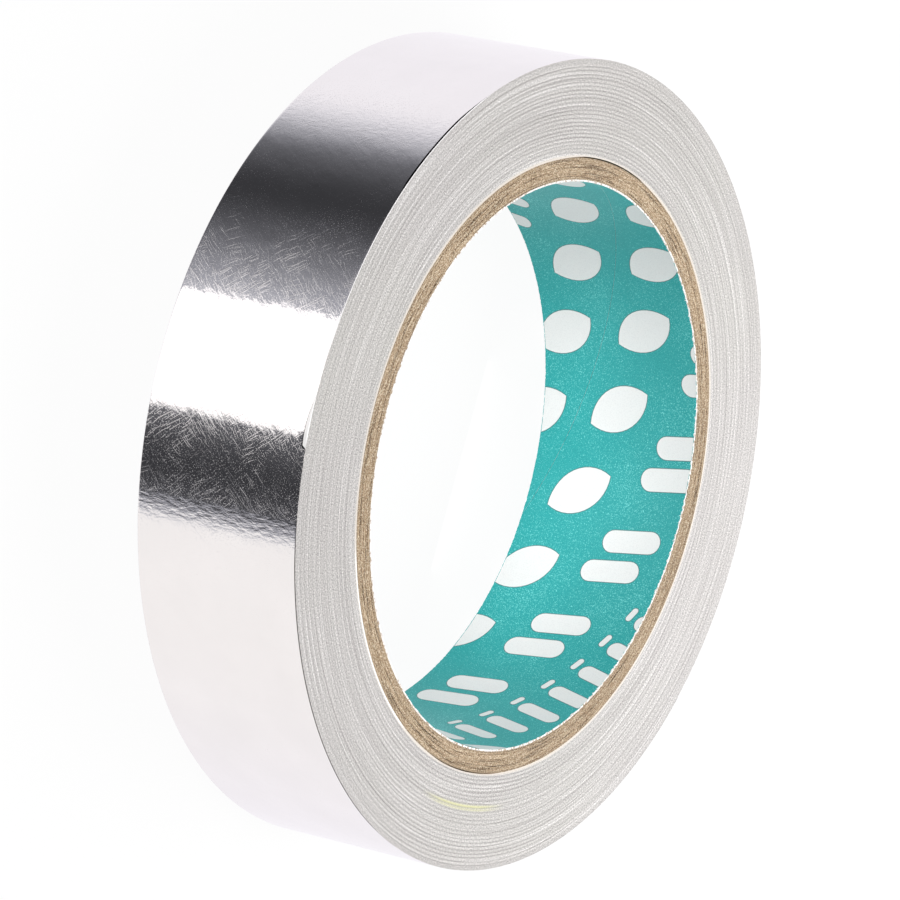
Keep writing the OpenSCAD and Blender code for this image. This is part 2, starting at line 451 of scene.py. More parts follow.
edgeFinish = {
    "base": "#BBB8B6",
    "coolPatch": "#BBB9B5",
    "darkLine": "#A19D9B",
    "paleLine": "#C7C3C1",
    "linePitch": 0.52,        # turns, drawn five times as coarse as they are, so that they show
    "sidePitch": 0.85,        # and coarser where the photograph's view presses them together
    "sideShare": 0.4,         # and fainter there
    "lineWander": 7.0,
    "slowAt": (1.5, 1.5, 0.22),  # how fast the lines' wander changes round the roll, and outwards
    "rareRound": 1.8,         # and a rare line, round the roll
    "rareSize": 0.16,
    "patch": 38.46,           # size of the warmer and cooler patches
    "relief": 0.004,
    "rareDark": "#8F8A89",
    "rarePale": "#EEEBEA",
    "grain": 0.2,
    "cream": "#EDE3D6",
    "creamWidth": 0.32,       # glue and liner of the first turns, beside the core
    # pale lines: of glue beside the core, and a painted highlight along the outer rim and over the
    # knocked lip: from, to, inner and outer radius, colour
    "paleRings": [(290, 334, boardOuter - 0.2, boardOuter + 0.28, "#FAF8F6"),
                  (212, 262, tapeOuter - 0.13, tapeOuter + 1, "#F4F2F2"),
                  (262, 277, tapeOuter + 0.05, tapeOuter + 1, "#FDFCFC")],
    "stain": "#D6D596",
    "stainRadius": 46.0,
    "stainWidth": 1.3,
    "stainArc": (345, 372),
    "roughness": 0.5,
}


def makeTapeEdges(p):
    # Slit edges of foil, glue and liner, pressed together: pale, dull, and streaked along the turns.
    # The pattern reads the wound place that the mesh carries: around, around and outwards.
    material, tree = newFinish("slitTapeEdges")
    carried = addNode(tree, "ShaderNodeAttribute", attribute_name="woundAt", attribute_type="GEOMETRY")
    wound = carried.outputs["Vector"]
    place = addNode(tree, "ShaderNodeTexCoord").outputs["Object"]
    out = addNode(tree, "ShaderNodeSeparateXYZ", [wound]).outputs["Z"]
    slowAt = addNode(tree, "ShaderNodeVectorMath", [wound, p["slowAt"]], operation="MULTIPLY")
    slow = addNode(tree, "ShaderNodeTexNoise", {"Vector": slowAt, "Scale": 1.0, "Detail": 2.0})
    shift = addNode(tree, "ShaderNodeMath", [slow, p["lineWander"]], operation="MULTIPLY")
    waves = []
    for pitch in (p["linePitch"], p["sidePitch"]):
        phase = addNode(tree, "ShaderNodeMath", [out, 2 * math.pi / pitch, shift], operation="MULTIPLY_ADD")
        waves.append(addNode(tree, "ShaderNodeMath", [phase], operation="SINE"))
    heading = addNode(tree, "ShaderNodeSeparateXYZ", [wound]).outputs["Y"]
    atSide = addNode(tree, "ShaderNodeMath", [heading, heading], operation="MULTIPLY")
    wave = addNode(tree, "ShaderNodeMix", {0: atSide, 2: waves[0], 3: waves[1]}, data_type="FLOAT")
    rareAt = addNode(tree, "ShaderNodeVectorMath", [
        wound, (p["rareRound"], p["rareRound"], 1 / p["rareSize"])], operation="MULTIPLY")
    rare = addNode(tree, "ShaderNodeTexNoise", {"Vector": rareAt, "Scale": 1.0, "Detail": 0.0})
    patch = addNode(tree, "ShaderNodeTexNoise", {
        "Vector": place, "Scale": 1 / (p["patch"] * mm), "Detail": 2.0})
    grain = addNode(tree, "ShaderNodeTexNoise", {
        "Vector": place, "Scale": 1 / (p["grain"] * mm), "Detail": 1.0})
    ground = setStops(addNode(tree, "ShaderNodeValToRGB", [patch]), [(0.4, p["coolPatch"]), (0.6, p["base"])])
    strong = addNode(tree, "ShaderNodeMapRange", [slow, 0.35, 0.65, 0.65, 1.0])
    strength = addNode(tree, "ShaderNodeMath", [
        strong, addNode(tree, "ShaderNodeMapRange", [atSide, 0.3, 1.0, 1.0, p["sideShare"]]),
    ], operation="MULTIPLY")
    darkness = addNode(tree, "ShaderNodeMath", [
        addNode(tree, "ShaderNodeMapRange", [wave, -1.0, 0.0, 1.0, 0.0]), strength], operation="MULTIPLY")
    paleness = addNode(tree, "ShaderNodeMath", [
        addNode(tree, "ShaderNodeMapRange", [wave, 0.0, 1.0]), strength], operation="MULTIPLY")
    lined = addNode(tree, "ShaderNodeMix", {0: darkness, 6: ground, 7: p["darkLine"]}, data_type="RGBA")
    streaked = addNode(tree, "ShaderNodeMix", {0: paleness, 6: lined, 7: p["paleLine"]}, data_type="RGBA")
    darker = addNode(tree, "ShaderNodeMix", {
        0: addNode(tree, "ShaderNodeMapRange", [rare, 0.26, 0.36, 0.35, 0.0]), 6: streaked, 7: p["rareDark"],
    }, data_type="RGBA")
    ringed = addNode(tree, "ShaderNodeMix", {
        0: addNode(tree, "ShaderNodeMapRange", [rare, 0.64, 0.74, 0.0, 0.4]), 6: darker, 7: p["rarePale"],
    }, data_type="RGBA")
    brightness = addNode(tree, "ShaderNodeMapRange", [grain, 0.3, 0.7, 0.6, 1.4])
    coloured = addNode(tree, "ShaderNodeHueSaturation", {"Value": brightness, "Color": ringed})

    # Marks that lie at a place of their own, by radius and angle
    axes = addNode(tree, "ShaderNodeSeparateXYZ", [place])
    level = addNode(tree, "ShaderNodeCombineXYZ", [axes.outputs["X"], axes.outputs["Y"], 0.0])
    fromAxis = addNode(tree, "ShaderNodeVectorMath", [level], operation="LENGTH")
    radius = addNode(tree, "ShaderNodeMath", [fromAxis, 1 / mm], operation="MULTIPLY")
    turn = addNode(tree, "ShaderNodeMath", [axes.outputs["Y"], axes.outputs["X"]], operation="ARCTAN2")
    degrees = addNode(tree, "ShaderNodeMath", [turn, 180 / math.pi, 540.0], operation="MULTIPLY_ADD")
    within = addNode(tree, "ShaderNodeMath", [degrees, 360.0], operation="MODULO")
    angle = addNode(tree, "ShaderNodeMath", [within, 180.0], operation="ADD")
    upper = addNode(tree, "ShaderNodeMath", [axes.outputs["Z"], tapeWidth / 2 * mm], operation="GREATER_THAN")
    creamy = addNode(tree, "ShaderNodeMapRange", [
        radius, boardOuter + p["creamWidth"] * 0.6, boardOuter + p["creamWidth"] * 1.4, 0.7, 0.0])
    coloured = addNode(tree, "ShaderNodeMix", {0: creamy, 6: coloured, 7: p["cream"]}, data_type="RGBA")
    # pale glue beside the core, and a painted highlight along the outer rim
    for start, end, low, high, colour in p["paleRings"]:
        inArc = arcCover(tree, angle, start, end, 4.0, 4.0)
        inRing = arcCover(tree, radius, low, high, 0.03, 0.06)
        both = addNode(tree, "ShaderNodeMath", [inArc, inRing], operation="MULTIPLY")
        shown = addNode(tree, "ShaderNodeMath", [both, upper], operation="MULTIPLY")
        coloured = addNode(tree, "ShaderNodeMix", {0: shown, 6: coloured, 7: colour}, data_type="RGBA")
    half = p["stainWidth"] / 2
    stainArc = arcCover(tree, angle, *p["stainArc"], 9.0, 9.0)
    stainRing = arcCover(tree, radius, p["stainRadius"] - half, p["stainRadius"] + half, half, half)
    spread = addNode(tree, "ShaderNodeMath", [stainArc, stainRing], operation="MULTIPLY")
    patchy = addNode(tree, "ShaderNodeMath", [
        spread, addNode(tree, "ShaderNodeMapRange", [wave, -1.0, 1.0, 0.2, 0.9])], operation="MULTIPLY")
    stained = addNode(tree, "ShaderNodeMath", [patchy, upper], operation="MULTIPLY")
    coloured = addNode(tree, "ShaderNodeMix", {0: stained, 6: coloured, 7: p["stain"]}, data_type="RGBA")
    bump = addNode(tree, "ShaderNodeBump", {"Height": wave, "Distance": p["relief"] * mm, "Strength": 1.0})
    shader = addNode(tree, "ShaderNodeBsdfPrincipled", {
        "Base Color": coloured, "Roughness": p["roughness"], "Normal": bump})
    addNode(tree, "ShaderNodeOutputMaterial", {"Surface": shader})
    return material


boardFinish = {
    "base": "#B89F82",
    "pale": "#EFE2CA",
    "dark": "#5B452D",
    "fibre": 0.24,
    "plyLine": 0.3,
    "plyRound": 4.5,          # how fast the ply lines and the fibres change round the core
    "fibreRound": 60,
    "relief": 0.12,
    "fleck": 0.2,
    "brownAt": 62,            # the side towards which the board is darker
    "brownest": 0.86,
    "roughness": 0.85,
}


def makeBoard(p):
    # Raw sawn end of spirally wound kraft board: brown, fibrous, with darker glue lines between plies
    material, tree = newFinish("kraftBoardEnd")
    carried = addNode(tree, "ShaderNodeAttribute", attribute_name="woundAt", attribute_type="GEOMETRY")
    wound = carried.outputs["Vector"]
    place = addNode(tree, "ShaderNodeTexCoord").outputs["Object"]
    plyAt = addNode(tree, "ShaderNodeVectorMath", [wound, (p["plyRound"], p["plyRound"], 1 / p["plyLine"])],
                    operation="MULTIPLY")
    fibreAt = addNode(tree, "ShaderNodeVectorMath", [
        wound, (p["fibreRound"], p["fibreRound"], 1 / p["fibre"])], operation="MULTIPLY")
    ply = addNode(tree, "ShaderNodeTexNoise", {
        "Vector": plyAt, "Scale": 1.0, "Detail": 3.0, "Roughness": 0.7})
    fibre = addNode(tree, "ShaderNodeTexNoise", {
        "Vector": fibreAt, "Scale": 1.0, "Detail": 3.0, "Roughness": 0.8})
    fleck = addNode(tree, "ShaderNodeTexNoise", {
        "Vector": place, "Scale": 1 / (p["fleck"] * mm), "Detail": 2.0, "Roughness": 0.7})
    tone = setStops(addNode(tree, "ShaderNodeValToRGB", [fibre]), [
        (0.3, p["dark"]), (0.46, p["base"]), (0.55, p["base"]), (0.66, p["pale"])])
    glued = addNode(tree, "ShaderNodeMix", {
        0: addNode(tree, "ShaderNodeMapRange", [ply, 0.39, 0.47, 0.85, 0.0]), 6: tone, 7: p["dark"],
    }, data_type="RGBA")
    flecked = addNode(tree, "ShaderNodeMix", {
        0: addNode(tree, "ShaderNodeMapRange", [fleck, 0.53, 0.64, 0.0, 0.8]), 6: glued, 7: p["pale"],
    }, data_type="RGBA")
    pitted = addNode(tree, "ShaderNodeMix", {
        0: addNode(tree, "ShaderNodeMapRange", [fleck, 0.34, 0.46, 0.8, 0.0]), 6: flecked, 7: p["dark"],
    }, data_type="RGBA")
    # darker towards one side
    heading = addNode(tree, "ShaderNodeVectorMath", [
        wound, (math.cos(math.radians(p["brownAt"])), math.sin(math.radians(p["brownAt"])), 0),
    ], operation="DOT_PRODUCT")
    value = addNode(tree, "ShaderNodeMapRange", [heading.outputs["Value"], 0.3, 1.0, 1.0, p["brownest"]])
    darkened = addNode(tree, "ShaderNodeHueSaturation", {"Value": value, "Color": pitted})
    bump = addNode(tree, "ShaderNodeBump", {"Height": fibre, "Distance": p["relief"] * mm, "Strength": 1.0})
    shader = addNode(tree, "ShaderNodeBsdfPrincipled", {
        "Base Color": darkened, "Roughness": p["roughness"], "Normal": bump})
    addNode(tree, "ShaderNodeOutputMaterial", {"Surface": shader})
    return material


paperFinish = {
    "ink": "#2DA5A5",
    "inkPale": "#86E6E2",
    "inkDeep": "#289A9B",
    "bare": "#F6F3F1",
    "keyline": "#39827F",
    "white": "#F0ECEB",
    "speck": 0.16,
    "sheen": 0.25,
    "fieldFleck": ("#B9B4B8", 0.14, 0.16),  # colour, strength and size of the flecks on a field
    "edgeFleck": ("#A88E70", 0.95, 0.5),    # and on the torn edge
    "cloud": 11.11,           # size of the patches where the ink lies thinner
    "raggedSize": 2 / 3,
    "relief": 0.006,
    "tear": 0.30,             # how far down the torn rim shows white at most
    "roughness": 0.42,
}


def makePrintedPaper(p):
    # Teal litho print on coated paper: even, a little glossy, with fine pale specks where the ink
    # missed, and bare white fibre along the cut rims
    material, tree = newFinish("tealPrintedPaper")
    place = addNode(tree, "ShaderNodeTexCoord").outputs["Object"]
    speck = addNode(tree, "ShaderNodeTexNoise", {
        "Vector": place, "Scale": 1 / (p["speck"] * mm), "Detail": 2.0, "Roughness": 0.7})
    cloud = addNode(tree, "ShaderNodeTexNoise", {
        "Vector": place, "Scale": 1 / (p["cloud"] * mm), "Detail": 2.0})
    density = addNode(tree, "ShaderNodeMath", [cloud, 0.2, speck], operation="MULTIPLY_ADD")
    inked = setStops(addNode(tree, "ShaderNodeValToRGB", [density]), [
        (0.46, p["inkDeep"]), (0.54, p["ink"]), (0.67, p["ink"]), (0.80, p["inkPale"])])
    axes = addNode(tree, "ShaderNodeSeparateXYZ", [place])
    ragged = addNode(tree, "ShaderNodeTexNoise", {
        "Vector": place, "Scale": 1 / (p["raggedSize"] * mm), "Detail": 3.0, "Roughness": 0.8})
    fromMiddle = addNode(tree, "ShaderNodeMath", [axes.outputs["Z"], tapeWidth / 2 * mm],
                         operation="SUBTRACT")
    aside = addNode(tree, "ShaderNodeMath", [fromMiddle], operation="ABSOLUTE")
    toRim = addNode(tree, "ShaderNodeMath", [tapeWidth / 2 * mm, aside], operation="SUBTRACT")
    reach = addNode(tree, "ShaderNodeMapRange", [ragged, 0.46, 0.66, 0.03 * mm, p["tear"] * mm])
    side = addNode(tree, "ShaderNodeMapRange", [fromMiddle, -1.0 * mm, 1.0 * mm, 0.3, 1.0])
    reachHere = addNode(tree, "ShaderNodeMath", [reach, side], operation="MULTIPLY")
    torn = addNode(tree, "ShaderNodeMath", [toRim, reachHere], operation="LESS_THAN")
    colour = addNode(tree, "ShaderNodeMix", {0: torn, 6: inked, 7: p["bare"]}, data_type="RGBA")
    bump = addNode(tree, "ShaderNodeBump", {"Height": speck, "Distance": p["relief"] * mm, "Strength": 1.0})
    shader = addNode(tree, "ShaderNodeBsdfPrincipled", {
        "Base Color": colour, "Roughness": p["roughness"], "Specular IOR Level": p["sheen"], "Normal": bump})
    addNode(tree, "ShaderNodeOutputMaterial", {"Surface": shader})
    return material


def makeBareField(p, name, colour, fleckColour, strength, size):
    # Unprinted coated paper, the thin overprinted line round it, or the paper's torn edge: smooth,
    # with a fleck that is faint on the face and coarse where fibre has pulled out of the edge
    material, tree = newFinish(name)
    place = addNode(tree, "ShaderNodeTexCoord").outputs["Object"]
    fleck = addNode(tree, "ShaderNodeTexNoise", {"Vector": place, "Scale": 1 / (size * mm), "Detail": 2.0})
    faint = addNode(tree, "ShaderNodeMapRange", [fleck, 0.36, 0.5, strength, 0.0])
    tone = addNode(tree, "ShaderNodeMix", {0: faint, 6: colour, 7: fleckColour}, data_type="RGBA")
    shader = addNode(tree, "ShaderNodeBsdfPrincipled", {"Base Color": tone, "Roughness": p["roughness"]})
    addNode(tree, "ShaderNodeOutputMaterial", {"Surface": shader})
    return material


foil = makeFoil(foilFinish)
tapeEdges = makeTapeEdges(edgeFinish)
kraftBoard = makeBoard(boardFinish)
printedPaper = makePrintedPaper(paperFinish)
bareWhite, keylineInk, tornEdge = (
    makeBareField(paperFinish, name, paperFinish[colour], *paperFinish[fleck])
    for name, colour, fleck in (
        ("bareCoatedPaper", "white", "fieldFleck"),
        ("keylineInk", "keyline", "fieldFleck"),
        ("tornPaperEdge", "bare", "edgeFleck"),
    )
)
print("finishes ready")


# Geometry Nodes: a tree's inputs, and the plain mesh that it makes

def newTree(name, inputs):
    tree = bpy.data.node_groups.new(name, "GeometryNodeTree")
    tree.interface.new_socket("Geometry", in_out="OUTPUT", socket_type="NodeSocketGeometry")
    for label, kind in inputs:
        tree.interface.new_socket(label, in_out="INPUT", socket_type="NodeSocket" + kind)
    return tree, tree.nodes.new("NodeGroupInput").outputs


def bakeTree(name, tree, values):
    holder = bpy.data.objects.new(name, bpy.data.meshes.new(name))
    bpy.context.collection.objects.link(holder)
    modifier = holder.modifiers.new("shape", "NODES")
    modifier.node_group = tree
    for item in tree.interface.items_tree:
        if item.in_out == "INPUT":
            modifier[item.identifier] = values[item.name]
    mesh = bpy.data.meshes.new_from_object(holder.evaluated_get(bpy.context.evaluated_depsgraph_get()))
    holder.modifiers.remove(modifier)
    holder.data = mesh
    mesh.name = name
    return holder


def makeRingTree():
    # A wound ring. Its faces carry one band for a few turns, with a gap to the next band.
    # A band has three columns of points: inner edge, outer edge and the gap's bottom.
    tree, given = newTree("woundRing", [
        ("Inner Radius", "Float"), ("Outer Radius", "Float"), ("Width", "Float"), ("Bands", "Int"),
        ("Segments", "Int"), ("Wall Rows", "Int"), ("Spiral", "Float"), ("End Step", "Float"),
        ("End Angle", "Float"), ("Burr", "Float"), ("Gap Width", "Float"), ("Gap Depth", "Float"),
        ("Rise", "Float"), ("Lobes", "Float"), ("Seed", "Float"), ("Side Finish", "Material"),
        ("Wall Finish", "Material"),
    ])

    # Every grid's Y runs once round, from the free end
    here = addNode(tree, "ShaderNodeSeparateXYZ", [addNode(tree, "GeometryNodeInputPosition")])
    rowCount = addNode(tree, "ShaderNodeMath", [given["Segments"], 1.0], operation="ADD")
    rowAt = addNode(tree, "ShaderNodeMath", [given["Segments"], 0.5, here.outputs["Y"]],
                    operation="MULTIPLY_ADD")
    row = addNode(tree, "ShaderNodeMath", [rowAt], operation="ROUND")
    turnShare = addNode(tree, "ShaderNodeMath", [row, given["Segments"]], operation="DIVIDE")
    angle = addNode(tree, "ShaderNodeMath", [turnShare, 2 * math.pi, given["End Angle"]],
                    operation="MULTIPLY_ADD")
    heading = addNode(tree, "ShaderNodeVectorRotate", {"Vector": (1, 0, 0), "Angle": angle},
                      rotation_type="Z_AXIS")

    # The faces: which edge and which side of it a point belongs to
    columnSpan = addNode(tree, "ShaderNodeMath", [given["Bands"], 3.0, -2.0], operation="MULTIPLY_ADD")
    columnCount = addNode(tree, "ShaderNodeMath", [columnSpan, 1.0], operation="ADD")
    columnAt = addNode(tree, "ShaderNodeMath", [columnSpan, 0.5, here.outputs["X"]], operation="MULTIPLY_ADD")
    column = addNode(tree, "ShaderNodeMath", [columnAt], operation="ROUND")
    shifted = addNode(tree, "ShaderNodeMath", [column, 2.0], operation="ADD")
    third = addNode(tree, "ShaderNodeMath", [shifted, 3.0], operation="DIVIDE")
    edge = addNode(tree, "ShaderNodeMath", [third], operation="FLOOR")
    within = addNode(tree, "ShaderNodeMath", [edge, -3.0, shifted], operation="MULTIPLY_ADD")
    side = addNode(tree, "ShaderNodeMath", [within, 1.0], operation="SUBTRACT")
    isLast = addNode(tree, "ShaderNodeMath", [edge, given["Bands"], 0.1], operation="COMPARE")
    isBottom = addNode(tree, "ShaderNodeMath", [side, 0.0, 0.1], operation="COMPARE")

    # A gap's place in the pile: it moves out by one band in a turn, apart from the first and the last
    turnLeft = addNode(tree, "ShaderNodeMath", [1.0, turnShare], operation="SUBTRACT")
    notLast = addNode(tree, "ShaderNodeMath", [1.0, isLast], operation="SUBTRACT")
    unwound = addNode(tree, "ShaderNodeMath", [given["Spiral"], turnLeft], operation="MULTIPLY")
    moved = addNode(tree, "ShaderNodeMath", [unwound, notLast], operation="MULTIPLY")
    spiralled = addNode(tree, "ShaderNodeMath", [edge, moved], operation="SUBTRACT")
    least = addNode(tree, "ShaderNodeMath", [edge, 0.2], operation="MULTIPLY")
    place = addNode(tree, "ShaderNodeMath", [spiralled, least], operation="MAXIMUM")
    placesLeft = addNode(tree, "ShaderNodeMath", [given["Bands"], place], operation="SUBTRACT")
    window = addNode(tree, "ShaderNodeMath", [
        addNode(tree, "ShaderNodeMapRange", [place, 1.0, 2.0]),
        addNode(tree, "ShaderNodeMapRange", [placesLeft, 1.0, 2.0]),
    ], operation="MULTIPLY")
    ringWall = addNode(tree, "ShaderNodeMath", [given["Outer Radius"], given["Inner Radius"]],
                       operation="SUBTRACT")
    pitch = addNode(tree, "ShaderNodeMath", [ringWall, given["Bands"]], operation="DIVIDE")
    fromInner = addNode(tree, "ShaderNodeMath", [place, pitch], operation="MULTIPLY")

    # Relief: bands stand a little higher or lower, and the gaps between them open and close
    lobed = addNode(tree, "ShaderNodeVectorMath", {0: heading, "Scale": given["Lobes"]}, operation="SCALE")
    woundPlace = addNode(tree, "ShaderNodeMath", [side, 0.5, place], operation="MULTIPLY_ADD")
    bandAt = addNode(tree, "ShaderNodeVectorMath", [
        addNode(tree, "ShaderNodeCombineXYZ", [0.0, 0.0, woundPlace]), (1, 1, 1.7), lobed,
    ], operation="MULTIPLY_ADD")
    gapAt = addNode(tree, "ShaderNodeVectorMath", [
        addNode(tree, "ShaderNodeCombineXYZ", [5.0, 0.0, place]), (1, 1, 1.9), lobed,
    ], operation="MULTIPLY_ADD")
    bandNoise = addNode(tree, "ShaderNodeTexNoise", {
        "Vector": bandAt, "W": given["Seed"], "Scale": 1.0, "Detail": 2.0}, noise_dimensions="4D")
    gapNoise = addNode(tree, "ShaderNodeTexNoise", {
        "Vector": gapAt, "W": given["Seed"], "Scale": 1.0, "Detail": 3.0}, noise_dimensions="4D")
    openness = addNode(tree, "ShaderNodeMapRange", [gapNoise, 0.38, 0.66])
    swell = addNode(tree, "ShaderNodeMapRange", [bandNoise, 0.25, 0.75, -1.0, 1.0])
    lift = addNode(tree, "ShaderNodeMath", [swell, given["Rise"]], operation="MULTIPLY")
    depth = addNode(tree, "ShaderNodeMath", [given["Gap Depth"], openness], operation="MULTIPLY")
    drop = addNode(tree, "ShaderNodeMath", [depth, isBottom], operation="MULTIPLY")
    stand = addNode(tree, "ShaderNodeMath", [lift, drop], operation="SUBTRACT")
    height = addNode(tree, "ShaderNodeMath", [stand, window, given["Width"]], operation="MULTIPLY_ADD")
    opened = addNode(tree, "ShaderNodeMath", [given["Gap Width"], openness], operation="MULTIPLY")
    halfOpened = addNode(tree, "ShaderNodeMath", [side, 0.5], operation="MULTIPLY")
    spread = addNode(tree, "ShaderNodeMath", [opened, halfOpened], operation="MULTIPLY")
    spreadHere = addNode(tree, "ShaderNodeMath", [spread, window, fromInner], operation="MULTIPLY_ADD")
    endShift = addNode(tree, "ShaderNodeMath", [given["End Step"], turnShare], operation="MULTIPLY")
    rimShift = addNode(tree, "ShaderNodeMath", [endShift, given["Burr"]], operation="SUBTRACT")
    shiftedOut = addNode(tree, "ShaderNodeMath", [rimShift, isLast, spreadHere], operation="MULTIPLY_ADD")
    radius = addNode(tree, "ShaderNodeMath", [shiftedOut, given["Inner Radius"]], operation="ADD")

    faceGrid = addNode(tree, "GeometryNodeMeshGrid", {
        "Size X": columnSpan, "Size Y": given["Segments"], "Vertices X": columnCount, "Vertices Y": rowCount})
    outwards = addNode(tree, "ShaderNodeMath", [fromInner, 1 / mm], operation="MULTIPLY")
    woundAt = addNode(tree, "ShaderNodeVectorMath", [
        heading, addNode(tree, "ShaderNodeCombineXYZ", [0.0, 0.0, outwards])], operation="ADD")
    marked = addNode(tree, "GeometryNodeStoreNamedAttribute", {
        "Geometry": faceGrid.outputs["Mesh"], "Name": "woundAt", "Value": woundAt,
    }, data_type="FLOAT_VECTOR", domain="POINT")
    facePoint = addNode(tree, "ShaderNodeVectorRotate", {
        "Vector": addNode(tree, "ShaderNodeCombineXYZ", [radius, 0.0, height]), "Angle": angle,
    }, rotation_type="Z_AXIS")
    topFace = addNode(tree, "GeometryNodeSetPosition", {"Geometry": marked, "Position": facePoint})
    flatFace = addNode(tree, "GeometryNodeSetShadeSmooth", {0: topFace, "Shade Smooth": False})

    # The lower face is the upper one turned over, and nothing of it reaches below the ground
    risen = addNode(tree, "ShaderNodeSeparateXYZ", [addNode(tree, "GeometryNodeInputPosition")])
    mirrored = addNode(tree, "ShaderNodeMath", [given["Width"], risen.outputs["Z"]], operation="SUBTRACT")
    sunk = addNode(tree, "ShaderNodeMath", [mirrored, 0.0], operation="MAXIMUM")
    lowerPoint = addNode(tree, "ShaderNodeCombineXYZ", [risen.outputs["X"], risen.outputs["Y"], sunk])
    lowerFace = addNode(tree, "GeometryNodeSetPosition", {
        "Geometry": addNode(tree, "GeometryNodeFlipFaces", [flatFace]), "Position": lowerPoint})

    # The walls: rows crowd together towards the rims, and the outer one ends in a small burr
    share = addNode(tree, "ShaderNodeMath", [here.outputs["X"], 0.5], operation="ADD")
    shareLeft = addNode(tree, "ShaderNodeMath", [1.0, share], operation="SUBTRACT")
    nearest = addNode(tree, "ShaderNodeMath", [share, shareLeft], operation="MINIMUM")
    fromRim = addNode(tree, "ShaderNodeMath", [nearest, 2.0], operation="MULTIPLY")
    atRim = addNode(tree, "ShaderNodeMath", [fromRim, 0.001], operation="LESS_THAN")
    crowded = addNode(tree, "ShaderNodeMath", [fromRim, 2.2], operation="POWER")
    lowerClimb = addNode(tree, "ShaderNodeMath", [crowded, 0.5], operation="MULTIPLY")
    upperClimb = addNode(tree, "ShaderNodeMath", [1.0, lowerClimb], operation="SUBTRACT")
    upperHalf = addNode(tree, "ShaderNodeMath", [share, 0.5], operation="GREATER_THAN")
    climb = addNode(tree, "ShaderNodeMix", {0: upperHalf, 2: lowerClimb, 3: upperClimb}, data_type="FLOAT")
    climbed = addNode(tree, "ShaderNodeMath", [climb, given["Width"]], operation="MULTIPLY")
    outerRadius = addNode(tree, "ShaderNodeMath", [endShift, given["Outer Radius"]], operation="ADD")
    burr = addNode(tree, "ShaderNodeMath", [atRim, given["Burr"]], operation="MULTIPLY")
    burred = addNode(tree, "ShaderNodeMath", [outerRadius, burr], operation="SUBTRACT")
    wallMap = addNode(tree, "ShaderNodeCombineXYZ", [turnShare, climb, 0.0])
    walls = []
    for wallRadius, wallRows in ((burred, given["Wall Rows"]), (given["Inner Radius"], 2)):
        grid = addNode(tree, "GeometryNodeMeshGrid", {
            "Size X": 1.0, "Size Y": given["Segments"], "Vertices X": wallRows, "Vertices Y": rowCount})
        mapped = addNode(tree, "GeometryNodeStoreNamedAttribute", {
            "Geometry": grid.outputs["Mesh"], "Name": "wallMap", "Value": wallMap,
        }, data_type="FLOAT2", domain="CORNER")
        flagged = addNode(tree, "GeometryNodeStoreNamedAttribute", {
            "Geometry": mapped, "Name": "isWall", "Value": True}, data_type="BOOLEAN", domain="FACE")
        smooth = addNode(tree, "GeometryNodeSetShadeSmooth", {0: flagged, "Shade Smooth": True})
        wallPoint = addNode(tree, "ShaderNodeVectorRotate", {
            "Vector": addNode(tree, "ShaderNodeCombineXYZ", [wallRadius, 0.0, climbed]), "Angle": angle,
        }, rotation_type="Z_AXIS")
        walls.append(addNode(tree, "GeometryNodeSetPosition", {"Geometry": smooth, "Position": wallPoint}))
    outerWall = addNode(tree, "GeometryNodeFlipFaces", [walls[0]])

    # The free end's own edge, one turn thick
    endGrid = addNode(tree, "GeometryNodeMeshGrid", {
        "Size X": 1.0, "Size Y": 1.0, "Vertices X": 2, "Vertices Y": 2})
    endRadius = addNode(tree, "ShaderNodeMath", [given["End Step"], share, given["Outer Radius"]],
                        operation="MULTIPLY_ADD")
    climbShare = addNode(tree, "ShaderNodeMath", [here.outputs["Y"], 0.5], operation="ADD")
    endHeight = addNode(tree, "ShaderNodeMath", [climbShare, given["Width"]], operation="MULTIPLY")
    endPoint = addNode(tree, "ShaderNodeVectorRotate", {
        "Vector": addNode(tree, "ShaderNodeCombineXYZ", [endRadius, 0.0, endHeight]),
        "Angle": given["End Angle"],
    }, rotation_type="Z_AXIS")
    endEdge = addNode(tree, "GeometryNodeSetPosition", {
        "Geometry": endGrid.outputs["Mesh"], "Position": endPoint})

    joined = addNode(tree, "GeometryNodeJoinGeometry")
    for part in (endEdge, walls[1], outerWall, lowerFace, flatFace):
        tree.links.new(part.outputs[0], joined.inputs[0])
    welded = addNode(tree, "GeometryNodeMergeByDistance", {"Geometry": joined, "Distance": 0.002 * mm})
    whole = addNode(tree, "GeometryNodeRealizeInstances", [welded])
    sides = addNode(tree, "GeometryNodeSetMaterial", {"Geometry": whole, "Material": given["Side Finish"]})
    isWall = addNode(tree, "GeometryNodeInputNamedAttribute", {"Name": "isWall"}, data_type="BOOLEAN")
    finished = addNode(tree, "GeometryNodeSetMaterial", {
        "Geometry": sides, "Selection": isWall, "Material": given["Wall Finish"]})
    addNode(tree, "NodeGroupOutput", {"Geometry": finished})
    return tree


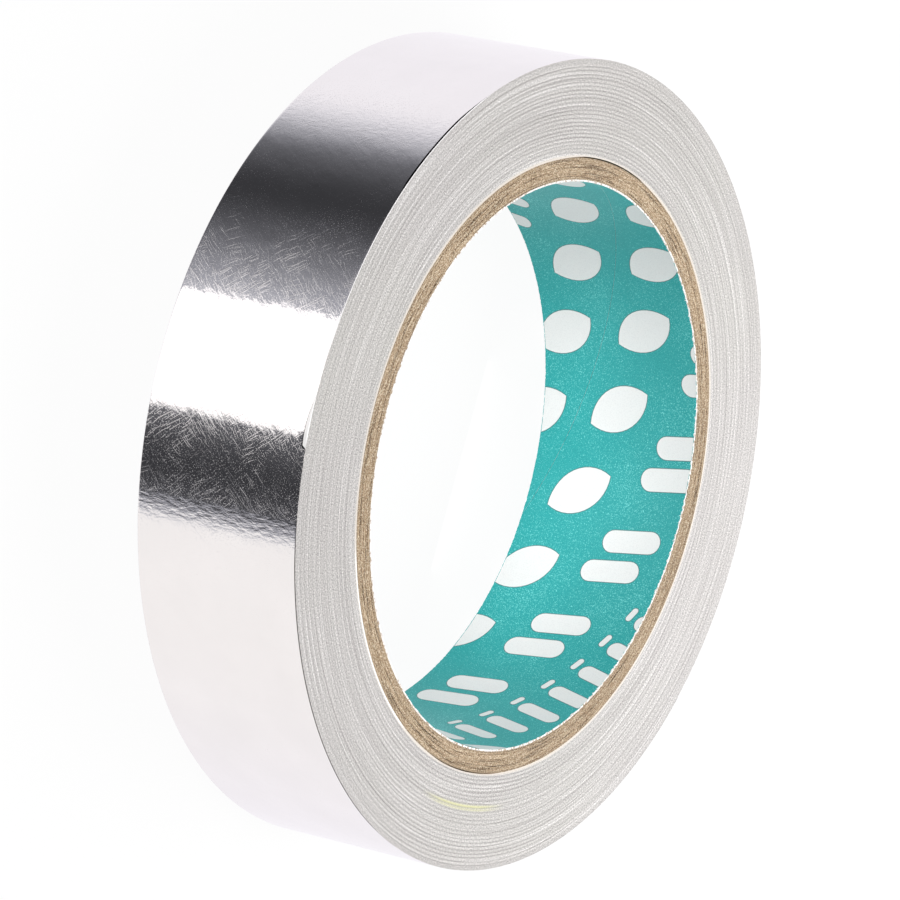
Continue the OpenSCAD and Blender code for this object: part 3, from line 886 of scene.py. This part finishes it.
def shapeTape(p, tree):
    tape = bakeTree("woundTape", tree, {
        "Inner Radius": boardOuter * mm, "Outer Radius": tapeOuter * mm, "Width": tapeWidth * mm,
        "Bands": p["bands"], "Segments": p["segments"], "Wall Rows": p["wallRows"], "Spiral": 1.0,
        "End Step": p["turn"] * mm, "End Angle": math.radians(p["endAngle"]),
        "Burr": p["burr"] * mm, "Gap Width": p["gapWidth"] * mm, "Gap Depth": p["gapDepth"] * mm,
        "Rise": p["rise"] * mm, "Lobes": p["lobes"], "Seed": p["seed"],
        "Side Finish": tapeEdges, "Wall Finish": foil,
    })
    dentBend = p["dentTo"] - p["dentBack"]  # where the outer turns start to step back
    for vertex in tape.data.vertices:
        place = vertex.co
        radius = math.hypot(place.x, place.y) / mm
        degrees = angleOf(place)
        out = 0.0
        if radius > tapeOuter - 2:
            swell = hump(min(degrees, p["dentFull"]), p["dentFull"], p["dentFull"] - p["dentFrom"])
            swell *= hump(max(degrees, dentBend), dentBend, p["dentBack"])
            flare = swell * hump(place.z / mm, tapeWidth, p["dentDeep"])
            out += p["dentOut"] * flare * (1 if radius > tapeOuter - 0.1 else 0.15)
        if radius < boardOuter + 0.01:
            first = hump(degrees, (p["gapFrom"] + p["gapTo"]) / 2, (p["gapTo"] - p["gapFrom"]) / 2)
            wrapped = degrees + 360 if degrees < 90 else degrees
            second = hump(wrapped, (p["secondGapFrom"] + p["secondGapTo"]) / 2,
                          (p["secondGapTo"] - p["secondGapFrom"]) / 2)
            out += p["coreGap"] * min(1, 2 * max(first, second))
        if out:
            scale = (radius + out) / radius
            vertex.co = (place.x * scale, place.y * scale, place.z)
    return tape


boardShape = {
    "bands": 13,              # two for each ply, where the saw has split it
    "gapWidth": 0.10,
    "gapDepth": 0.22,
    "rise": 0.05,
    "lobes": 5.0,
    "seed": 11.0,
    "segments": 320,
    "nickAt": (40.6, 35.1),   # radius and angle of a nick in the sawn end
    "nickSize": 0.55,
    "nickDeep": 0.35,
    "tornAt": (40.3, 89.0),   # and of a patch that the saw tore
    "tornLength": 3.6,
    "tornWidth": 0.9,
    "tornDeep": 0.3,
}


def shapeBoard(p, tree):
    board = bakeTree("boardTube", tree, {
        "Inner Radius": boardInner * mm, "Outer Radius": boardOuter * mm, "Width": tapeWidth * mm,
        "Bands": p["bands"], "Segments": p["segments"], "Wall Rows": 2, "Spiral": 0.0, "End Step": 0.0,
        "End Angle": 0.0, "Burr": 0.0, "Gap Width": p["gapWidth"] * mm, "Gap Depth": p["gapDepth"] * mm,
        "Rise": p["rise"] * mm, "Lobes": p["lobes"], "Seed": p["seed"],
        "Side Finish": kraftBoard, "Wall Finish": kraftBoard,
    })
    nick = polar(*p["nickAt"], tapeWidth)
    torn = polar(*p["tornAt"], tapeWidth)
    outward = Vector((torn.x, torn.y, 0)).normalized()
    for vertex in board.data.vertices:
        if vertex.co.z < (tapeWidth - 1) * mm:
            continue
        away = vertex.co - torn
        across = away.dot(outward) / mm
        along = away.dot(Vector((-outward.y, outward.x, 0))) / mm
        rough = 0.5 + noise.noise(vertex.co * 1800)
        drop = p["nickDeep"] * hump((vertex.co - nick).length / mm, 0, p["nickSize"])
        drop += p["tornDeep"] * rough * hump(along, 0, p["tornLength"]) * hump(across, 0, p["tornWidth"])
        vertex.co.z -= drop * mm
    return board


ringTree = makeRingTree()
woundTape = shapeTape(tapeShape, ringTree)
print("tape wound,", len(woundTape.data.polygons), "faces")
boardTube = shapeBoard(boardShape, ringTree)
print("board tube made,", len(boardTube.data.polygons), "faces")


# The lining: a strip of printed paper, wound at a slant, whose edges meet in a helical seam

strip = {
    "slant": 20,
    "seamAngle": 131,         # where the seam passes half the core's width
    "seamGap": 0.025,
    "columns": 960,
    "rows": 8,
    "ragged": 0.10,           # how far the cut rim wanders
    "raggedSize": 0.55,
}
stripWidth = 2 * math.pi * boreRadius * math.sin(math.radians(strip["slant"]))


def shapeLining(p):
    # The strip laid flat is a long parallelogram. It is cut into upright columns, so that each
    # lies true on the bore, and each column reaches from the lower to the upper slanted edge.
    slant = math.radians(p["slant"])
    first = -(tapeWidth / 2 * math.cos(slant) + stripWidth - p["seamGap"] / 2) / math.sin(slant)
    last = (tapeWidth / 2 * math.cos(slant) - p["seamGap"] / 2) / math.sin(slant)
    built = bmesh.new()
    sheets = []
    for radius in (boreRadius, boardInner):
        columns = []
        for column in range(p["columns"] + 1):
            arc = first + (last - first) * column / p["columns"]
            degrees = p["seamAngle"] + math.degrees(arc / boreRadius)
            seamBelow = tapeWidth / 2 + (arc * math.sin(slant) + p["seamGap"] / 2) / math.cos(slant)
            seamAbove = seamBelow + (stripWidth - p["seamGap"]) / math.cos(slant)
            low = min(max(0, seamBelow), tapeWidth)
            high = max(min(tapeWidth, seamAbove), 0)
            if seamAbove > tapeWidth:
                at = polar(boreRadius / p["raggedSize"], degrees, 0) / mm
                high += p["ragged"] * (noise.noise(at) + 0.5 * noise.noise(at * 3.1) - 0.3)
            columns.append([
                built.verts.new(polar(radius, degrees, low + (high - low) * row / p["rows"]))
                for row in range(p["rows"] + 1)
            ])
        sheets.append(columns)
    inner, outer = sheets
    for column in range(p["columns"]):
        for sheet, order in ((inner, -1), (outer, 1)):
            here, there = sheet[column], sheet[column + 1]
            for row in range(p["rows"]):
                corners = [here[row], there[row], there[row + 1], here[row + 1]]
                built.faces.new(corners[::order])
        for row, order in ((0, -1), (p["rows"], 1)):
            corners = [inner[column][row], inner[column + 1][row], outer[column + 1][row], outer[column][row]]
            built.faces.new(corners[::-order]).material_index = 1  # the cut edge shows bare paper
    for column, order in ((0, 1), (p["columns"], -1)):
        for row in range(p["rows"]):
            corners = [inner[column][row], inner[column][row + 1], outer[column][row + 1], outer[column][row]]
            built.faces.new(corners[::-order])
    bmesh.ops.remove_doubles(built, verts=built.verts, dist=0.001 * mm)
    bmesh.ops.recalc_face_normals(built, faces=built.faces)
    mesh = bpy.data.meshes.new("printedLining")
    built.to_mesh(mesh)
    built.free()
    mesh.shade_smooth()
    mesh.set_sharp_from_angle(angle=math.radians(40))
    mesh.materials.append(printedPaper)
    mesh.materials.append(tornEdge)
    lining = bpy.data.objects.new("printedLining", mesh)
    bpy.context.collection.objects.link(lining)
    return lining


printedLining = shapeLining(strip)
print("lining made,", len(printedLining.data.polygons), "faces")


# The print: rows of plain marks along the strip, laid out flat and then wrapped on the bore

marks = {
    "rows": 7,
    "leafLength": 10.5, "leafWidth": 6, "leafPitch": 13, "leafLean": 38,
    "pairLength": 9, "pairWidth": 3.2, "pairGap": 5, "pairPitch": 15, "pairLean": 62,
    "barLength": 7.2, "barWidth": 2.4, "barPitch": 5.2, "barLean": 84, "barRise": 0.9,
    "dashLength": 2.2, "dashWidth": 0.9, "dashGap": 0.8,
    "keyline": 0.13,          # the darker line that shows round each mark
    "arcStep": 1.3,
    "rimLeft": 0.12,
    "thickness": 0.1,
    "markProud": 0.016,
    "keylineProud": 0.008,
}


def leafOutline(length, width, grow):
    # two arcs that meet in points
    arcRadius = (length * length + width * width) / (4 * width)
    sweep = math.asin(length / 2 / arcRadius)
    points = []
    for side in (1, -1):
        for step in range(14):
            turn = sweep * (1 - 2 * step / 14)
            points.append((side * (arcRadius + grow) * math.sin(turn),
                           side * ((arcRadius + grow) * math.cos(turn) - arcRadius + width / 2)))
    return points


def barOutline(length, width, grow):
    # a bar with round ends
    radius = width / 2 + grow
    points = []
    for side in (1, -1):
        for step in range(11):
            turn = math.radians(90 - 18 * step)
            along = (length - width) / 2 + radius * math.cos(turn)
            points.append((side * along, side * radius * math.sin(turn)))
    return points


def makeSeriesTree():
    # Rows of one mark along the strip, each row centred on the core's width
    tree, given = newTree("printSeries", [
        ("Mark", "Object"), ("Rows", "Int"), ("Marks", "Int"), ("First Across", "Float"),
        ("Row Step", "Float"), ("Pitch", "Float"), ("Shift Along", "Float"), ("Shift Across", "Float"),
        ("Lean", "Float"),
        ("Slant", "Float"), ("Half Width", "Float"), ("Finish", "Material"),
    ])

    index = addNode(tree, "GeometryNodeInputIndex")
    indexMiddle = addNode(tree, "ShaderNodeMath", [index, 0.5], operation="ADD")
    rowAt = addNode(tree, "ShaderNodeMath", [indexMiddle, given["Marks"]], operation="DIVIDE")
    row = addNode(tree, "ShaderNodeMath", [rowAt], operation="FLOOR")
    before = addNode(tree, "ShaderNodeMath", [row, given["Marks"]], operation="MULTIPLY")
    number = addNode(tree, "ShaderNodeMath", [index, before], operation="SUBTRACT")
    middle = addNode(tree, "ShaderNodeMath", [given["Marks"], 0.5, -0.5], operation="MULTIPLY_ADD")
    fromMiddle = addNode(tree, "ShaderNodeMath", [number, middle], operation="SUBTRACT")
    across = addNode(tree, "ShaderNodeMath", [row, given["Row Step"], given["First Across"]],
                     operation="MULTIPLY_ADD")
    steepness = addNode(tree, "ShaderNodeMath", [given["Slant"]], operation="TANGENT")
    back = addNode(tree, "ShaderNodeMath", [across, steepness], operation="DIVIDE")
    start = addNode(tree, "ShaderNodeMath", [given["Shift Along"], back], operation="SUBTRACT")
    along = addNode(tree, "ShaderNodeMath", [fromMiddle, given["Pitch"], start], operation="MULTIPLY_ADD")
    aside = addNode(tree, "ShaderNodeMath", [across, given["Shift Across"]], operation="ADD")
    onStrip = addNode(tree, "ShaderNodeVectorRotate", {
        "Vector": addNode(tree, "ShaderNodeCombineXYZ", [along, aside, 0.0]), "Angle": given["Slant"],
    }, rotation_type="Z_AXIS")
    flatPoint = addNode(tree, "ShaderNodeVectorMath", [
        onStrip, addNode(tree, "ShaderNodeCombineXYZ", [0.0, given["Half Width"], 0.0])], operation="ADD")
    count = addNode(tree, "ShaderNodeMath", [given["Rows"], given["Marks"]], operation="MULTIPLY")
    points = addNode(tree, "GeometryNodePoints", {"Count": count, "Position": flatPoint})
    mark = addNode(tree, "GeometryNodeObjectInfo", {"Object": given["Mark"], "As Instance": True})
    lean = addNode(tree, "ShaderNodeMath", [given["Slant"], given["Lean"]], operation="ADD")
    turned = addNode(tree, "ShaderNodeCombineXYZ", [0.0, 0.0, lean])
    placed = addNode(tree, "GeometryNodeInstanceOnPoints", {
        "Points": points, "Instance": mark.outputs["Geometry"], "Rotation": turned})
    real = addNode(tree, "GeometryNodeRealizeInstances", {"Geometry": placed})
    done = addNode(tree, "GeometryNodeSetMaterial", {"Geometry": real, "Material": given["Finish"]})
    addNode(tree, "NodeGroupOutput", {"Geometry": done})
    return tree


def laySeries(p, tree, points, kind, pitch, lean, shiftAlong, shiftAcross, finish):
    # every third row of the strip, from row number kind on, holds this mark
    outline = bpy.data.meshes.new("markOutline")
    outline.from_pydata([(x * mm, y * mm, 0) for x, y in points], [], [tuple(range(len(points)))[::-1]])
    mark = bpy.data.objects.new("markOutline", outline)
    bpy.context.collection.objects.link(mark)
    rowLength = tapeWidth / math.sin(math.radians(strip["slant"]))
    rowPitch = stripWidth / p["rows"]
    series = bakeTree("series", tree, {
        "Mark": mark,
        "Rows": len(range(kind, p["rows"], 3)),
        "Marks": 2 * math.ceil(rowLength / 2 / pitch) + 1,
        "First Across": (kind + 0.5) * rowPitch * mm,
        "Row Step": 3 * rowPitch * mm,
        "Pitch": pitch * mm,
        "Shift Along": shiftAlong * mm,
        "Shift Across": shiftAcross * mm,
        "Lean": math.radians(lean),
        "Slant": math.radians(strip["slant"]),
        "Half Width": tapeWidth / 2 * mm,
        "Finish": finish,
    })
    bpy.data.objects.remove(mark)
    return series


def wrapMarks(name, p, tree, grow, proud, finish):
    leaf = leafOutline(p["leafLength"], p["leafWidth"], grow)
    pair = barOutline(p["pairLength"], p["pairWidth"], grow)
    bar = barOutline(p["barLength"], p["barWidth"], grow)
    dash = barOutline(p["dashLength"], p["dashWidth"], grow)
    dashDrop = p["barRise"] - p["barLength"] / 2 - p["dashGap"] - p["dashWidth"] / 2
    series = [
        laySeries(p, tree, leaf, 0, p["leafPitch"], p["leafLean"], 0, 0, finish),
        laySeries(p, tree, pair, 1, p["pairPitch"], p["pairLean"], -p["pairGap"] / 2, 0, finish),
        laySeries(p, tree, pair, 1, p["pairPitch"], p["pairLean"], p["pairGap"] / 2, 0, finish),
        laySeries(p, tree, bar, 2, p["barPitch"], p["barLean"], 0, p["barRise"], finish),
        laySeries(p, tree, dash, 2, p["barPitch"], 0, 0, dashDrop, finish),
    ]
    built = bmesh.new()
    for piece in series:
        built.from_mesh(piece.data)
        bpy.data.objects.remove(piece)
    for level, direction in ((p["rimLeft"], -1), (tapeWidth - p["rimLeft"], 1)):
        bmesh.ops.bisect_plane(built, geom=built.verts[:] + built.edges[:] + built.faces[:], dist=1e-8,
                               plane_co=(0, level * mm, 0), plane_no=(0, direction, 0), clear_outer=True)
    low = min(v.co.x for v in built.verts)
    high = max(v.co.x for v in built.verts)
    for step in range(1, int((high - low) / mm / p["arcStep"]) + 1):
        bmesh.ops.bisect_plane(built, geom=built.verts[:] + built.edges[:] + built.faces[:], dist=1e-8,
                               plane_co=(low + step * p["arcStep"] * mm, 0, 0), plane_no=(1, 0, 0))
    front = boreRadius - proud
    for vertex in built.verts:
        degrees = strip["seamAngle"] + math.degrees(vertex.co.x / mm / boreRadius)
        vertex.co = polar(front, degrees, vertex.co.y / mm)
    backs = bmesh.ops.extrude_face_region(built, geom=built.faces[:], use_keep_orig=True)["geom"]
    for vertex in backs:
        if isinstance(vertex, bmesh.types.BMVert):
            scale = (front + p["thickness"]) / front
            vertex.co = (vertex.co.x * scale, vertex.co.y * scale, vertex.co.z)
    bmesh.ops.recalc_face_normals(built, faces=built.faces)
    mesh = bpy.data.meshes.new(name)
    built.to_mesh(mesh)
    built.free()
    mesh.shade_smooth()
    mesh.set_sharp_from_angle(angle=math.radians(40))
    mesh.materials.append(finish)
    wrapped = bpy.data.objects.new(name, mesh)
    bpy.context.collection.objects.link(wrapped)
    return wrapped


seriesTree = makeSeriesTree()
printMarks, printKeyline = (
    wrapMarks(name, marks, seriesTree, grow, marks[proud], finish)
    for name, grow, proud, finish in (
        ("printMarks", 0, "markProud", bareWhite),
        ("printKeyline", marks["keyline"], "keylineProud", keylineInk),
    )
)
print("print laid,", len(printMarks.data.polygons), "faces")


# What rides on the roll, and which part of the frame each piece stands in for

for piece, node, slot in (
    (woundTape, "foil_tape", "foil_tape"),
    (boardTube, "core_tube", "core_board"),
    (printedLining, "core_lining", "lining_paper"),
    (printMarks, "lining_print", "print_white"),
    (printKeyline, None, "lining_paper"),
):
    if node:
        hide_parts(node)
    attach(piece, rootBody)
